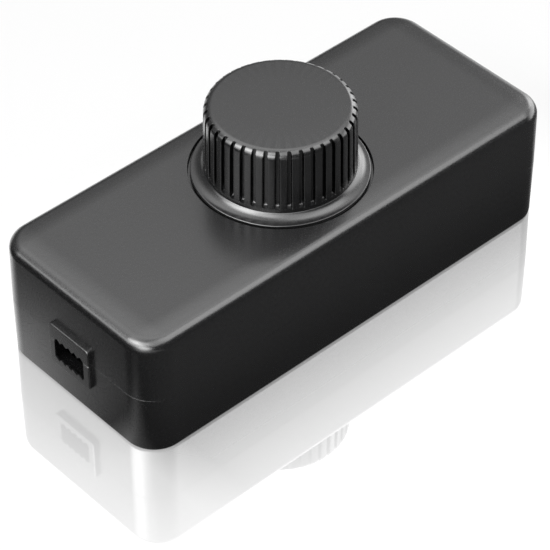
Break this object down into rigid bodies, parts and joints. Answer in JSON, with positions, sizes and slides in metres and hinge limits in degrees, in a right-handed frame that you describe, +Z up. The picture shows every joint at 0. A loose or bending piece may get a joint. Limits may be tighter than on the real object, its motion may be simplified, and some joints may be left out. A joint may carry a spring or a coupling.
{
  "type": "rotary dimmer",
  "caption": "Inline rotary dimmer for a lamp cord: long two-part case, ribbed knob with a flared skirt in a round recess, and a toothed cord slot at each end.",
  "frame": {"origin": "middle of the case's flat underside, below the knob's axis", "axes": "+X along the case from the mains end to the lamp end, +Y across it, +Z up along the knob's axis"},
  "size_m": [0.0878, 0.036, 0.0352],
  "materials": {
    "case_plastic": "satin, very fine grain",
    "knob_plastic": "satin",
    "screw_steel": "bright zinc plated",
    "nut_nickel": "bright nickel plated",
    "washer_nickel": "bright nickel plated, flat ground faces",
    "bushing_zinc": "die cast, satin",
    "can_steel": "tinned sheet, satin",
    "shaft_alloy": "turned",
    "spring_steel": "blued",
    "rotor_moulding": "satin",
    "wiper_bronze": "rolled sheet",
    "track_laminate": "satin laminate",
    "tinned_brass": "tinned",
    "board_laminate": "solder mask",
    "triac_moulding": "fine matt",
    "heat_sink_aluminium": "mill finish",
    "film_box": "potted box",
    "ferrite": "sintered, ground",
    "enamelled_copper": "enamelled wire",
    "diac_glass": "glazed",
    "resistor_coat": "lacquered",
    "fuse_moulding": "moulded",
    "timing_box": "potted box",
    "block_plastic": "satin",
    "cage_steel": "plated"
  },
  "bodies": {
    "case": {"upper_shell": "case_plastic", "lower_shell": "case_plastic", "case_screws": "screw_steel", "hex_nut": "nut_nickel", "flat_washer": "washer_nickel", "pot_bushing": "bushing_zinc", "pot_cover": "can_steel", "pot_track_plate": "track_laminate", "pot_terminals": "tinned_brass", "circuit_board": "board_laminate", "board_screws": "screw_steel", "triac": "triac_moulding", "heat_sink": "heat_sink_aluminium", "heat_sink_screw": "screw_steel", "film_capacitor": "film_box", "choke_core": "ferrite", "choke_winding": "enamelled_copper", "diac": "diac_glass", "resistors": "resistor_coat", "fuse": "fuse_moulding", "timing_capacitor": "timing_box", "input_terminal_block": "block_plastic", "output_terminal_block": "block_plastic", "terminal_cages": "cage_steel", "terminal_screws": "screw_steel"},
    "knob": {"knob": "knob_plastic", "pot_shaft": "shaft_alloy", "shaft_clip": "spring_steel", "pot_rotor": "rotor_moulding", "pot_wiper": "wiper_bronze"}
  },
  "joints": [
    {"name": "knob_turn", "type": "hinge", "parent": "case", "child": "knob", "pos_m": [0, 0, 0.0275], "axis": [0, 0, 1], "range_deg": [-150, 150]}
  ]
}
